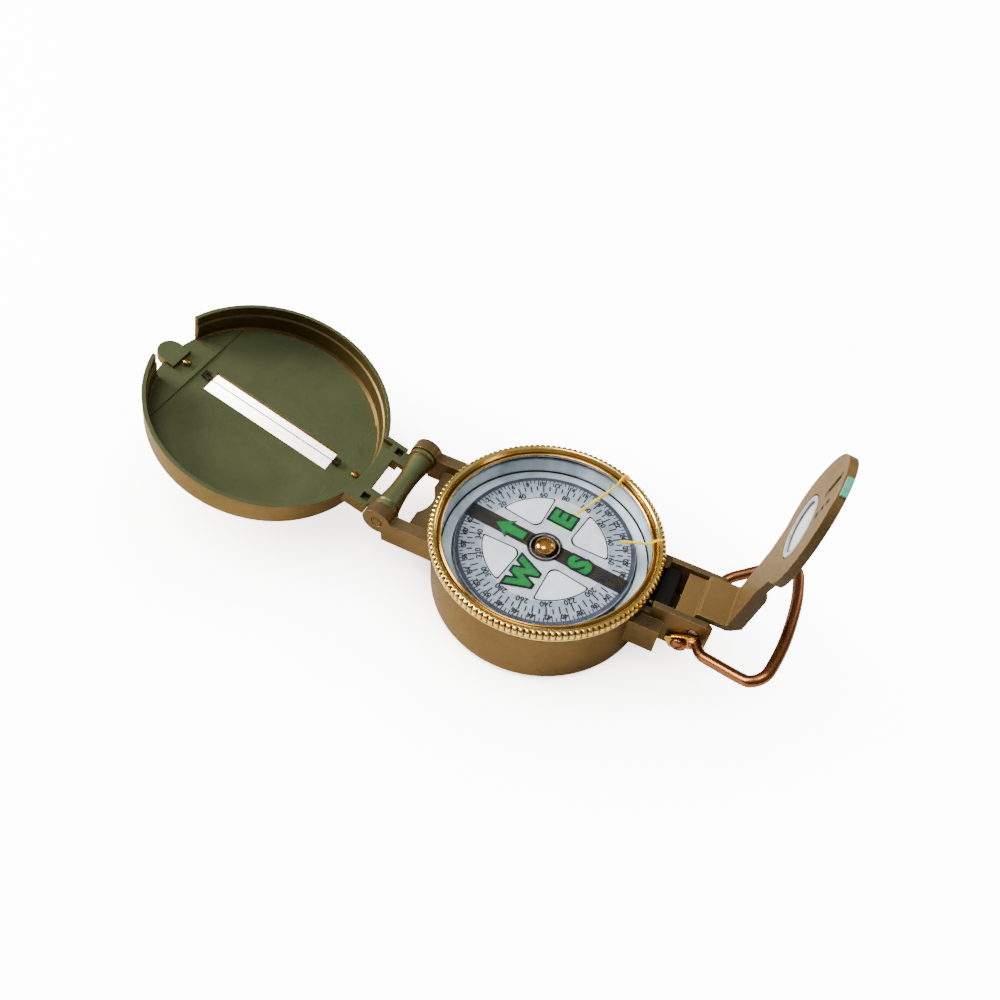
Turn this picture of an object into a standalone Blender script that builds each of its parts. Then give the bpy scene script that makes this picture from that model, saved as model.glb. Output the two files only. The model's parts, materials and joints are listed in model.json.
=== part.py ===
"""Lensatic sighting compass, open for use: round case with a dial and a turning bezel, a dished
cover on a front hinge, a folding lens bracket on two rails at the back, and a wire thumb loop.

Frame: origin on the dial's axis, on the flat base. +Z is up, +Y points along the sight line to
the cover hinge, +X is to the right of someone who looks along the sight line.
Constants are in millimetres and degrees. Helpers turn them into metres.
"""
import math

import bmesh
import bpy
from mathutils import Matrix, Vector

MM = 0.001
GAP = 0.3  # clearance between neighbouring pieces

# Case and dial
CASE_R = 27.8
CASE_TOP = 18.3
CASE_FLOOR = 2.0
CASE_EDGE = 2.2  # rounding of the bottom edge
CASE_BORE_R = 26.4
CASE_LEDGE_Z = 12.4
CASE_WELL_R = 24.5
BOWL_R = CASE_BORE_R - GAP
BOWL_WALL = 0.5
BOWL_LEDGE_Z = 13.6
BOWL_WELL_R = 22.8
BOWL_FLOOR_Z = 5.0
BOWL_TOP = 18.2
CARD_R = 22.2
CARD_TOP = 14.95
CARD_THICK = 0.4
CARD_HOLE_R = 1.9
NORTH_ANGLE = -5.3  # the card's north mark, turned clockwise from the sight line
MAGNET_LENGTH = 43.2
MAGNET_WIDTH = 4.4
MAGNET_THICK = 0.6
MAGNET_EYE_R = 4.3
MAGNET_EYE_HOLE_R = 3.0
PIVOT_TIP_Z = 15.3
LIFTER_Y = -19.6  # the lifter's pin
LIFTER_Z = 10.7
LIFTER_PIN_R = 0.5
PLUNGER_R = 0.9
PLUNGER_Y = -34.8  # its outer end
PLUNGER_Z = 11.0

# Bezel and glass
BEZEL_R = 28.5
BEZEL_BOTTOM = 18.8
BEZEL_TOP = 21.6
GLASS_R = 26.0
GLASS_BOTTOM = 18.5
GLASS_THICK = 1.2
GASKET_THICK = 0.5

# Cover hinge
HINGE_Y = 39.3
HINGE_Z = 16.2
EAR_R = 3.9
EAR_IN = 10.3
EAR_OUT = 13.5
ARM_BOTTOM = 9.6
ARM_TOP = 17.0
WEB_FRONT = 33.0
WEB_BOTTOM = 10.6
WEB_TOP = 14.0
HINGE_PIN_R = 1.2
HINGE_BORE_R = HINGE_PIN_R + GAP

# Cover, in its own flat frame: y from the hinge axis, z from the hinge axis
COVER_OPEN = 19.1  # the cover's tilt above level as it stands open
COVER_R = 30.6
COVER_IN_R = 29.2
COVER_RIM_Z = -1.2
COVER_FLOOR_Z = -9.75
COVER_BACK_Z = -10.9
COVER_EDGE = 1.6
NOTCH_HALF = 8.0
TAB_HALF = 3.4
TAB_END = 72.8
TAB_TOP_Z = -8.6
SLOT_HALF = 3.2
SLOT_Y0 = 19.6
SLOT_Y1 = 57.2
PAD_THICK = 0.4
PAD_Y0 = 16.4
PAD_Y1 = 60.9
LUG_HALF = 10.8
LUG_Y0 = 4.5
LUG_Z0 = -5.0
LUG_Z1 = COVER_RIM_Z
ANCHOR_HALF = 1.0
ANCHOR_LONG = 1.9
BARREL_HALF = EAR_IN - GAP
WINDOW_HALF = 5.3
WINDOW_Y1 = 6.3

# Rails and lens bracket
RAIL_IN = 6.1
RAIL_OUT = 7.6
RAIL_END = -43.2
RAIL_TOP = 21.2
RAIL_BOTTOM = 9.2
CHEEK_OUT = 11.0
CHEEK_END = -32.8
CHEEK_TOP = 16.8
CHEEK_BOTTOM = 8.4
POCKET_FLOOR = 9.4
PAD_REAR = -32.6
PAD_TOP = 19.6
BRACKET_Y = -39.6
BRACKET_Z = 17.0
BRACKET_HALF = RAIL_IN - GAP
BRACKET_PIN_R = 1.1
HUB_R = 2.8
PLATE_TILT = 7.0  # the lens plate leans back from upright
PLATE_THICK = 1.8
LENS_CENTRE_Y = -49.6
LENS_CENTRE_Z = 54.6
HEAD_R = 12.4
HEAD_TOP = 18.6
NECK_TOP = -16.5
PLATE_FOOT = 32.6  # from the lens centre down to the leaf
LEAF_TOP = 5.3  # above the pin's axis
FLANGE_DEPTH = 3.0
MARK_FROM, MARK_TO = 101.0, 116.0  # the luminous mark's stretch of the head's edge, in degrees
LENS_HOLE_R = 6.0
LENS_SEAT_R = 7.0
LENS_SEAT_DEPTH = 1.4
LENS_R = LENS_SEAT_R - GAP
SLIT_FROM, SLIT_TO = 11.0, 16.2  # the sight slit's ends, up the plate from the lens
SLIT_HALF = 0.6
SIDE_HOLES = (8.4, 10.5, 12.6)  # up the plate from the lens
SIDE_HOLE_X = -3.7
SIDE_HOLE_R = 0.5

# Thumb loop, in its own plane: x across, l outward from the pivot
LOOP_Y = -37.6
LOOP_Z = 13.4
LOOP_RISE = 30.0
LOOP_WIRE_R = 1.35
EYE_HALF = 2.1  # half the height of the flattened eye
EYE_INNER = 3.2  # the eye's reach inwards from the pivot
EYE_OUTER = 4.4  # and outwards, to the wire
EYE_THICK = 1.2
SCREW_R = 0.9  # the loop screws' shanks

ROUND = 72  # facets round the case, the dial and the cover
SMALL = 24  # facets round pins and screws


# ---------------------------------------------------------------- materials
def material(name, colour, roughness, metallic):
    made = bpy.data.materials.new(name)
    made.use_nodes = True
    shader = made.node_tree.nodes["Principled BSDF"]
    shader.inputs["Base Color"].default_value = (*colour, 1.0)
    shader.inputs["Roughness"].default_value = roughness
    shader.inputs["Metallic"].default_value = metallic
    return made


# ---------------------------------------------------------------- helpers
def metres(points):
    return [Vector(point) * MM for point in points]


def link(thing, place, parent):
    place.objects.link(thing)
    thing.parent = parent


def mesh_object(name, mesh, paint=None, place=None, parent=None, at=(0, 0, 0), turn=(0, 0, 0)):
    """Add a mesh object. Without a place it is a tool: a cutter or an addition, drawn as wire."""
    thing = bpy.data.objects.new(name, mesh)
    link(thing, place or TOOLS, parent)
    thing.location = Vector(at) * MM
    thing.rotation_euler = [math.radians(angle) for angle in turn]
    if paint:
        mesh.materials.append(paint)
    if place is None:
        thing.hide_render = True
        thing.display_type = "WIRE"
    mesh.shade_smooth()
    mesh.set_sharp_from_angle(angle=math.radians(35))
    return thing


def box(name, low, high, **options):
    """A box between two corners."""
    low, high = Vector(low) * MM, Vector(high) * MM
    shape = bmesh.new()
    fit = Matrix.Translation((low + high) / 2) @ Matrix.Diagonal((*(high - low), 1))
    bmesh.ops.create_cube(shape, size=1, matrix=fit)
    mesh = bpy.data.meshes.new(name)
    shape.to_mesh(mesh)
    shape.free()
    return mesh_object(name, mesh, **options)


def cylinder(name, radius, start, end, facets=SMALL, **options):
    """A cylinder along X, Y or Z, from the start point to the end point."""
    start, end = Vector(start) * MM, Vector(end) * MM
    along = end - start
    turn = along.to_track_quat("Z", "Y").to_matrix().to_4x4()
    shape = bmesh.new()
    bmesh.ops.create_cone(shape, cap_ends=True, segments=facets, radius1=radius * MM,
                          radius2=radius * MM, depth=along.length,
                          matrix=Matrix.Translation((start + end) / 2) @ turn)
    mesh = bpy.data.meshes.new(name)
    shape.to_mesh(mesh)
    shape.free()
    return mesh_object(name, mesh, **options)


def turned(name, profile, facets=ROUND, ring=False, **options):
    """Turn a profile of (radius, z) round Z. It runs down the outer side; a ring's is a loop."""
    mesh = bpy.data.meshes.new(name)
    corners = metres([(radius, 0, z) for radius, z in profile])
    edges = [(i, i + 1) for i in range(len(corners) - 1)]
    if ring:
        edges.append((len(corners) - 1, 0))
    mesh.from_pydata(corners, edges, [])
    thing = mesh_object(name, mesh, **options)
    screw = thing.modifiers.new("turn", "SCREW")
    screw.steps = facets
    screw.render_steps = facets
    screw.use_merge_vertices = True
    screw.merge_threshold = 0.00001
    screw.use_smooth_shade = True
    return thing


def arc(centre, radius, start, end, count):
    """Points on an arc, angles in degrees."""
    angles = [math.radians(start + (end - start) * i / count) for i in range(count + 1)]
    return [(centre[0] + radius * math.cos(a), centre[1] + radius * math.sin(a)) for a in angles]


def as_mesh(curve):
    """Remove a curve object, drawn at the origin, and give the closed mesh that it drew."""
    bpy.context.view_layer.update()
    seen = curve.evaluated_get(bpy.context.evaluated_depsgraph_get())
    mesh = bpy.data.meshes.new_from_object(seen)
    shape = bmesh.new()
    shape.from_mesh(mesh)
    bmesh.ops.remove_doubles(shape, verts=shape.verts, dist=0.000001)
    bmesh.ops.recalc_face_normals(shape, faces=shape.faces)
    shape.to_mesh(mesh)
    shape.free()
    name = curve.name
    bpy.data.objects.remove(curve)
    mesh.name = name
    return mesh


def plate(name, outline, thickness, at=(0, 0, 0), turn=(0, 0, 0), parent=None, **options):
    """A flat outline, drawn in XY and thickened to both sides of it, as a mesh object."""
    curve = bpy.data.curves.new(name, "CURVE")
    curve.dimensions = "2D"
    curve.fill_mode = "BOTH"
    curve.extrude = thickness * MM / 2
    line = curve.splines.new("POLY")
    line.points.add(len(outline) - 1)
    for point, (x, y) in zip(line.points, outline):
        point.co = (x * MM, y * MM, 0, 1)
    line.use_cyclic_u = True
    drawn = bpy.data.objects.new(name, curve)
    bpy.context.scene.collection.objects.link(drawn)
    mesh = as_mesh(drawn)
    return mesh_object(name, mesh, at=at, turn=turn, parent=parent, **options)


def wire(name, route, radius, resolution=2, **options):
    """A round wire along a route of (x, y, z), as a mesh object."""
    curve = bpy.data.curves.new(name, "CURVE")
    curve.dimensions = "3D"
    curve.bevel_depth = radius * MM
    curve.bevel_resolution = resolution
    curve.use_fill_caps = True
    line = curve.splines.new("POLY")
    line.points.add(len(route) - 1)
    for point, place in zip(line.points, metres(route)):
        point.co = (*place, 1)
    drawn = bpy.data.objects.new(name, curve)
    bpy.context.scene.collection.objects.link(drawn)
    mesh = as_mesh(drawn)
    return mesh_object(name, mesh, **options)


def smooth(points, count):
    """A Catmull-Rom curve through the points, with count steps between two of them."""
    ends = [points[0] * 2 - points[1], *points, points[-1] * 2 - points[-2]]
    route = []
    for a, b, c, d in zip(ends, ends[1:], ends[2:], ends[3:]):
        for i in range(count):
            t = i / count
            route.append(((b * 2) + (c - a) * t + (a * 2 - b * 5 + c * 4 - d) * t * t
                          + (b * 3 - a - c * 3 + d) * t ** 3) / 2)
    return route + [points[-1]]


def combine(thing, operation, tools):
    """Add a Boolean to the thing for each tool, in order."""
    for tool in tools:
        cut = thing.modifiers.new(tool.name, "BOOLEAN")
        cut.operation = operation
        cut.solver = "EXACT"
        cut.object = tool


def pivot(name, at, turn=(0, 0, 0)):
    """An empty on a joint's axis."""
    empty = bpy.data.objects.new(name, None)
    empty.location = Vector(at) * MM
    empty.rotation_euler = [math.radians(angle) for angle in turn]
    bpy.context.scene.collection.objects.link(empty)
    return empty


# ---------------------------------------------------------------- case and dial
def case_shell():
    edge = arc((CASE_R - CASE_EDGE, CASE_EDGE), CASE_EDGE, 0, -90, 5)
    case = turned("case_shell", [(0, CASE_TOP), (CASE_R - 0.4, CASE_TOP), (CASE_R, CASE_TOP - 0.4),
                                 *edge, (0, 0)], place=PARTS, paint=OLIVE_BRASS)
    added = []
    for side in (-1, 1):
        ends = sorted((side * EAR_IN, side * EAR_OUT))
        added.append(box("case_arm", (ends[0], 22, ARM_BOTTOM), (ends[1], HINGE_Y - 1, ARM_TOP)))
        added.append(cylinder("case_ear", EAR_R, (ends[0], HINGE_Y, HINGE_Z),
                              (ends[1], HINGE_Y, HINGE_Z), facets=32))
        rail = [(-24, RAIL_BOTTOM), (-24, CASE_TOP - 0.2), (-BEZEL_R - 0.7, CASE_TOP - 0.2),
                (-BEZEL_R - 0.7, RAIL_TOP), (RAIL_END + 1.2, RAIL_TOP), (RAIL_END, RAIL_TOP - 1.2),
                (RAIL_END, 12.2), (RAIL_END + 1.5, 10.8)]
        added.append(plate("case_rail", rail, RAIL_OUT - RAIL_IN,
                           at=(side * (RAIL_OUT + RAIL_IN) / 2, 0, 0), turn=(90, 0, 90)))
        cheek = sorted((side * RAIL_IN, side * CHEEK_OUT))
        added.append(box("case_cheek", (cheek[0], CHEEK_END, CHEEK_BOTTOM),
                         (cheek[1], -22, CHEEK_TOP)))
    added.append(box("case_web", (-EAR_IN - 0.5, 22, WEB_BOTTOM), (EAR_IN + 0.5, WEB_FRONT, WEB_TOP)))
    added.append(box("pocket_floor", (-RAIL_IN - 0.5, -36.5, CHEEK_BOTTOM - 0.4),
                     (RAIL_IN + 0.5, -22, POCKET_FLOOR)))
    combine(case, "UNION", added)
    bore = turned("case_bore", [(0, CASE_TOP + 5), (CASE_BORE_R, CASE_TOP + 5),
                                (CASE_BORE_R, CASE_LEDGE_Z), (CASE_WELL_R, CASE_LEDGE_Z),
                                (CASE_WELL_R, CASE_FLOOR), (0, CASE_FLOOR)])
    scallop = cylinder("web_scallop", 6.5, (0, WEB_FRONT + 4.6, WEB_BOTTOM - 2),
                       (0, WEB_FRONT + 4.6, WEB_TOP + 2), facets=32)
    holes = [cylinder("hinge_bore", HINGE_BORE_R, (-20, HINGE_Y, HINGE_Z), (20, HINGE_Y, HINGE_Z)),
             cylinder("bracket_bore", BRACKET_PIN_R + GAP, (-20, BRACKET_Y, BRACKET_Z),
                      (20, BRACKET_Y, BRACKET_Z)),
             cylinder("screw_bore", SCREW_R + GAP, (-20, LOOP_Y, LOOP_Z), (20, LOOP_Y, LOOP_Z))]
    combine(case, "DIFFERENCE", [bore, scallop, *holes, plunger_hole("case_hole", -30, -22)])


def dial_bowl():
    profile = [(0, BOWL_FLOOR_Z), (BOWL_WELL_R, BOWL_FLOOR_Z), (BOWL_WELL_R, BOWL_LEDGE_Z),
               (BOWL_R - BOWL_WALL, BOWL_LEDGE_Z), (BOWL_R - BOWL_WALL, BOWL_TOP),
               (BOWL_R, BOWL_TOP), (BOWL_R, BOWL_LEDGE_Z - 0.8),
               (BOWL_WELL_R + 0.6, BOWL_LEDGE_Z - 0.8), (BOWL_WELL_R + 0.6, BOWL_FLOOR_Z - 0.8),
               (0, BOWL_FLOOR_Z - 0.8)]
    bowl = turned("dial_bowl", profile, place=PARTS, paint=SILVER)
    low, high = LIFTER_Y - 1.1, LIFTER_Y + 1.1
    combine(bowl, "UNION", [box("lifter_lug", (x, low, BOWL_FLOOR_Z - 0.3),
                                (x + 1.0, high, LIFTER_Z + 0.9)) for x in (-3.2, 2.2)])
    combine(bowl, "DIFFERENCE", [
        cylinder("lug_bore", LIFTER_PIN_R + 0.05, (-5, LIFTER_Y, LIFTER_Z), (5, LIFTER_Y, LIFTER_Z)),
        plunger_hole("bowl_hole", -30, -21.5)])


def pivot_post():
    foot = BOWL_FLOOR_Z + GAP
    turned("pivot_post", [(0, PIVOT_TIP_Z), (0.1, PIVOT_TIP_Z - 0.1), (0.6, PIVOT_TIP_Z - 2.3),
                          (1.2, PIVOT_TIP_Z - 3.3), (1.2, foot + 1.0), (2.6, foot + 1.0),
                          (2.6, foot), (0, foot)], facets=SMALL, place=PARTS, paint=STEEL)


def compass_card():
    bottom = CARD_TOP - CARD_THICK
    turned("compass_card", [(CARD_HOLE_R, CARD_TOP), (CARD_R - 0.1, CARD_TOP),
                            (CARD_R, CARD_TOP - 0.1), (CARD_R, bottom), (CARD_HOLE_R, bottom)],
           ring=True, place=PARTS, paint=CARD_WHITE, turn=(0, 0, NORTH_ANGLE))


def magnet_bar():
    """Bar magnet hung under the card, with an eye round the cap's stem."""
    height = CARD_TOP - CARD_THICK - GAP - MAGNET_THICK / 2
    half, end = MAGNET_WIDTH / 2, MAGNET_LENGTH / 2
    outline = [(-half, -end), (half, -end), (half, end), (-half, end)]
    bar = plate("magnet_bar", outline, MAGNET_THICK, at=(0, 0, height),
                turn=(0, 0, NORTH_ANGLE), place=PARTS, paint=MAGNET_BLACK)
    low, high = (0, 0, height - MAGNET_THICK / 2), (0, 0, height + MAGNET_THICK / 2)
    combine(bar, "UNION", [cylinder("magnet_eye", MAGNET_EYE_R, low, high, facets=36)])
    combine(bar, "DIFFERENCE", [cylinder("magnet_eye_hole", MAGNET_EYE_HOLE_R, (0, 0, 10),
                                         (0, 0, 20), facets=36)])


def jewel_cap():
    """The brass cap that carries the card; a cone in its underside rests on the pivot."""
    seat = CARD_TOP + 0.1
    foot = CARD_TOP - CARD_THICK - 0.4
    dome = arc((0, seat + 0.2), 2.6, 90, 0, 7)
    dome = [(radius, seat + 0.2 + (z - seat - 0.2) * 0.55) for radius, z in dome]
    turned("jewel_cap", [*dome, (2.6, seat), (1.6, seat), (1.6, foot), (1.1, foot),
                         (0, PIVOT_TIP_Z + 0.5)], facets=SMALL, place=PARTS, paint=BRASS)


# ---------------------------------------------------------------- bezel
def bezel_ring():
    seat_top = GLASS_BOTTOM + GLASS_THICK + GASKET_THICK + GAP
    profile = [(26.9, BEZEL_TOP), (BEZEL_R - 0.4, BEZEL_TOP), (BEZEL_R, BEZEL_TOP - 0.4),
               (BEZEL_R, 19.7), (BEZEL_R - 0.3, 19.5), (BEZEL_R - 0.3, BEZEL_BOTTOM),
               (GLASS_R + GAP, BEZEL_BOTTOM), (GLASS_R + GAP, seat_top), (25.5, seat_top),
               (25.5, seat_top + 0.3), (26.5, seat_top + 0.6), (26.6, BEZEL_TOP - 0.3)]
    turned("bezel_ring", profile, ring=True, place=PARTS, paint=GOLD)


def glass():
    top = GLASS_BOTTOM + GLASS_THICK
    turned("crystal", [(0, top), (GLASS_R - 0.2, top), (GLASS_R, top - 0.2),
                       (GLASS_R, GLASS_BOTTOM), (0, GLASS_BOTTOM)], place=PARTS, paint=GLASS)
    low, high = top + GAP / 2, top + GAP / 2 + GASKET_THICK
    turned("crystal_gasket", [(25.2, high), (GLASS_R, high), (GLASS_R, low), (25.2, low)],
           ring=True, place=PARTS, paint=RUBBER)


def bezel_spring():
    """Wavy ring under the bezel that gives it drag, drawn as its flat envelope."""
    low, high = CASE_TOP + 0.1, BEZEL_BOTTOM - 0.1
    turned("bezel_spring", [(26.6, high), (27.3, high), (27.3, low), (26.6, low)], ring=True,
           place=PARTS, paint=DARK_STEEL)


# ---------------------------------------------------------------- cover
def cover_shell(hinge):
    def tool(maker, name, *where, **options):
        return maker(name, *where, parent=hinge, **options)

    edge = arc((COVER_R - 0.5 - COVER_EDGE, COVER_BACK_Z + COVER_EDGE), COVER_EDGE, 0, -90, 4)
    dish = turned("cover_shell", [(0, COVER_RIM_Z), (COVER_R, COVER_RIM_Z), *edge,
                                  (0, COVER_BACK_Z)],
                  place=PARTS, paint=OLIVE, parent=hinge, at=(0, HINGE_Y, 0))
    lug = tool(box, "cover_lug", (-LUG_HALF, LUG_Y0, LUG_Z0), (LUG_HALF, 14, LUG_Z1))
    neck = tool(box, "barrel_neck", (-9.6, 0, LUG_Z0 + 2.0), (9.6, LUG_Y0 + 1, LUG_Z1))
    room = turned("dish_room", [(0, 2), (COVER_IN_R + 0.4, 2), (COVER_IN_R + 0.4, -4.0),
                                (COVER_IN_R, -4.4), (COVER_IN_R, COVER_FLOOR_Z + 0.9),
                                (COVER_IN_R - 0.6, COVER_FLOOR_Z), (0, COVER_FLOOR_Z)],
                  parent=hinge, at=(0, HINGE_Y, 0))
    pads = tool(cylinder, "floor_pads", COVER_IN_R + 0.3, (0, HINGE_Y, COVER_FLOOR_Z - 0.4),
                (0, HINGE_Y, COVER_FLOOR_Z + PAD_THICK), facets=ROUND)
    combine(pads, "DIFFERENCE", [tool(box, "pad_gap", (-40, PAD_Y0, COVER_FLOOR_Z - 5),
                                      (40, PAD_Y1, COVER_FLOOR_Z + 5))])
    notch = tool(box, "rail_notch", (-NOTCH_HALF, 62, COVER_FLOOR_Z), (NOTCH_HALF, 75, 5))
    tab = [(-TAB_HALF, 66), (TAB_HALF, 66), *arc((0, TAB_END - TAB_HALF), TAB_HALF, 0, 180, 10)]
    tab_plate = tool(plate, "thumb_tab", tab, TAB_TOP_Z - COVER_BACK_Z,
                     at=(0, 0, (TAB_TOP_Z + COVER_BACK_Z) / 2))
    window = tool(box, "lug_window", (-WINDOW_HALF, 2.0, -8), (WINDOW_HALF, WINDOW_Y1, 2))
    slot = tool(box, "sight_slot", (-SLOT_HALF, SLOT_Y0, -15), (SLOT_HALF, SLOT_Y1, 0))
    recesses = [tool(box, "lug_recess", (low, 4.9, LUG_Z1 - 2.0), (low + 2.1, 7.0, 0))
                for low in (-9.4, 7.3)]
    stop_notch = tool(box, "stop_notch", (7.2, 8.6, LUG_Z1 - 1.6), (9.4, 11.4, 0))
    barrel = [(0, BARREL_HALF), (3.6, BARREL_HALF), (3.7, 9.0), (3.1, 8.5), (3.3, 7.9),
              *[(2.5 + 0.6 * (z / 7.0) ** 2, z) for z in (7.0, 4.7, 2.3, 0, -2.3, -4.7, -7.0)],
              (3.3, -7.9), (3.1, -8.5), (3.7, -9.0), (3.6, -BARREL_HALF), (0, -BARREL_HALF)]
    spool = turned("hinge_barrel", barrel, facets=32, parent=hinge, turn=(0, 90, 0))
    bore = tool(cylinder, "barrel_bore", HINGE_BORE_R, (-20, 0, 0), (20, 0, 0))
    combine(dish, "UNION", [lug, neck])
    combine(dish, "DIFFERENCE", [room])
    combine(dish, "UNION", [pads])
    combine(dish, "DIFFERENCE", [notch])
    combine(dish, "UNION", [tab_plate])
    combine(dish, "DIFFERENCE", [window, slot, *recesses, stop_notch])
    combine(dish, "UNION", [spool])
    combine(dish, "DIFFERENCE", [bore])


def sight_wire(hinge):
    """The vertical sight: a hair wire down the slot, held in a forked block at each end."""
    height = COVER_FLOOR_Z + 0.35
    wire("sighting_wire", [(0, SLOT_Y0 - 0.9, height), (0, SLOT_Y1 + 0.9, height)], 0.15,
         place=PARTS, parent=hinge, paint=STEEL)
    for name, near, fork in (("wire_anchor_near", SLOT_Y0 - GAP - ANCHOR_LONG, 1),
                             ("wire_anchor_far", SLOT_Y1 + GAP, -1)):
        low = COVER_FLOOR_Z + PAD_THICK + GAP
        far = near + ANCHOR_LONG
        anchor = box(name, (-ANCHOR_HALF, near, low), (ANCHOR_HALF, far, low + 0.8), place=PARTS,
                     parent=hinge, paint=DARK_STEEL)
        ends = sorted(((near + far) / 2, (near + far) / 2 + fork * ANCHOR_LONG))
        combine(anchor, "DIFFERENCE", [box("anchor_fork", (-0.35, ends[0], low - 0.1),
                                           (0.35, ends[1], low + 1.0), parent=hinge)])


def lume_dots(hinge):
    low = COVER_FLOOR_Z + PAD_THICK + GAP
    for name, y in (("lume_dot_near", 12.6), ("lume_dot_far", 64.6)):
        dome = [(radius, low + 0.3 + (z - low) * 0.5) for radius, z in arc((0, low), 0.9, 90, 0, 4)]
        turned(name, [*dome, (0.9, low), (0, low)], facets=16, place=PARTS, parent=hinge,
               paint=LUME, at=(0, y, 0))


def cover_hinge_pin():
    head = arc((0, 0), 2.2, 90, 20, 4)
    turned("cover_hinge_pin", [*[(r, EAR_OUT + GAP + z * 0.4) for r, z in head],
                               (2.1, EAR_OUT + GAP), (HINGE_PIN_R, EAR_OUT + GAP),
                               (HINGE_PIN_R, -EAR_OUT), (0, -EAR_OUT)],
           facets=SMALL, place=PARTS, paint=OLIVE_BRASS, at=(0, HINGE_Y, HINGE_Z), turn=(0, 90, 0))


# ---------------------------------------------------------------- lens bracket
def on_plate(up, deep):
    """(y, z) in the bracket's frame of a point up the lens plate from the lens and deep in it."""
    lean = math.radians(PLATE_TILT)
    return (LENS_CENTRE_Y - BRACKET_Y - up * math.sin(lean) - deep * math.cos(lean),
            LENS_CENTRE_Z - BRACKET_Z + up * math.cos(lean) - deep * math.sin(lean))


def sweep(start, end, count):
    return [start + (end - start) * i / count for i in range(count + 1)]


def head_edge(angle, out=0.0):
    """Point on the lens plate's head: half a circle below the lens, half an ellipse above it."""
    high = HEAD_TOP if angle > 0 else HEAD_R
    return ((HEAD_R + out) * math.cos(math.radians(angle)),
            (high + out) * math.sin(math.radians(angle)))


def head_outline():
    """Neck and spoon-shaped head of the lens plate: x across, y up the plate from the lens."""
    crown = [head_edge(angle) for angle in sweep(-52, 90, 24)]
    right = [(BRACKET_HALF, -PLATE_FOOT), (BRACKET_HALF, NECK_TOP), *crown[:-1]]
    return right + [(0, HEAD_TOP)] + [(-x, y) for x, y in reversed(right)]


def lens_bracket(hinge):
    """Tail, hub, leaf, neck and lens plate in one piece. Its frame is centred on the pin."""
    foot = on_plate(-PLATE_FOOT, 0)
    heel = on_plate(-PLATE_FOOT - 0.6, PLATE_THICK - 0.2)
    side = [(5.4, 1.4), (5.4, 3.0), (1.2, 3.0), (1.0, LEAF_TOP - 0.5), (0.4, LEAF_TOP),
            (foot[0] + 0.3, LEAF_TOP), on_plate(1.0 - PLATE_FOOT, 0.3),
            on_plate(1.0 - PLATE_FOOT, 1.4), heel, (foot[0] - 0.2, LEAF_TOP - 1.7),
            (-2.2, LEAF_TOP - 1.7), (-2.2, 0), (2.2, 0)]
    base = plate("lens_bracket", side, 2 * BRACKET_HALF, turn=(90, 0, 90), place=PARTS,
                 parent=hinge, paint=TAN)
    hub = cylinder("bracket_hub", HUB_R, (-BRACKET_HALF, 0, 0), (BRACKET_HALF, 0, 0), facets=32,
                   parent=hinge)
    upright = {"turn": (90 + PLATE_TILT, 0, 0), "parent": hinge}
    head = plate("lens_head", head_outline(), PLATE_THICK, at=(0, *on_plate(0, PLATE_THICK / 2)),
                 **upright)
    flange = [on_plate(up, deep) for up, deep in
              ((-PLATE_FOOT, 0.4), (-15.6, 0.4), (-15.6, 1.6), (-18.5, FLANGE_DEPTH),
               (-PLATE_FOOT + 1.5, FLANGE_DEPTH), (-PLATE_FOOT - 0.4, 1.6))]
    flanges = [plate("neck_flange", flange, 1.2, turn=(90, 0, 90), parent=hinge,
                     at=(x, 0, 0)) for x in (0.6 - BRACKET_HALF, BRACKET_HALF - 0.6)]
    combine(base, "UNION", [hub, head, *flanges])

    def through(name, radius, x, up, deep=6.0, facets=SMALL):
        start, end = on_plate(up, -3), on_plate(up, deep)
        return cylinder(name, radius, (x, *start), (x, *end), facets=facets, parent=hinge)

    cuts = [cylinder("bracket_hub_bore", BRACKET_PIN_R + GAP, (-20, 0, 0), (20, 0, 0),
                     parent=hinge),
            through("lens_hole", LENS_HOLE_R, 0, 0, facets=48),
            through("lens_seat", LENS_SEAT_R, 0, 0, deep=LENS_SEAT_DEPTH, facets=48),
            box("sight_slit", (-SLIT_HALF, SLIT_FROM, -6), (SLIT_HALF, SLIT_TO, 6),
                at=(0, *on_plate(0, 0)), **upright)]
    cuts += [through("side_hole", SIDE_HOLE_R, SIDE_HOLE_X, up, facets=10) for up in SIDE_HOLES]
    combine(base, "DIFFERENCE", cuts)


def lens_parts(hinge):
    """Lens, its retaining ring and a luminous mark. Profiles' z is depth behind the plate."""
    seat = {"place": PARTS, "parent": hinge, "at": (0, *on_plate(0, 0)),
            "turn": (90 + PLATE_TILT - 180, 0, 0)}
    rim = LENS_HOLE_R - GAP
    domed = [(share * rim, 1 - share ** 2) for share in (0, 0.3, 0.6, 1)]
    front = [(radius, -0.7 + 0.65 * rise) for radius, rise in domed]
    rear = [(radius, -1.1 - 0.9 * rise) for radius, rise in reversed(domed)]
    turned("lens", [*front, (LENS_R, -0.7), (LENS_R, -1.1), *rear], facets=48, paint=GLASS,
           **seat)
    turned("lens_ring", [(rim, -0.05), (LENS_R, -0.05), (LENS_R, -0.4), (rim, -0.4)],
           facets=48, ring=True, paint=SILVER, **seat)
    mark = [head_edge(angle, GAP) for angle in sweep(MARK_FROM, MARK_TO, 5)]
    mark += [head_edge(angle, GAP + 0.7) for angle in sweep(MARK_TO, MARK_FROM, 5)]
    plate("lume_dot_sight", mark, 1.2, at=(0, *on_plate(0, PLATE_THICK / 2)),
          turn=(90 + PLATE_TILT, 0, 0), place=PARTS, parent=hinge, paint=LUME)


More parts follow.
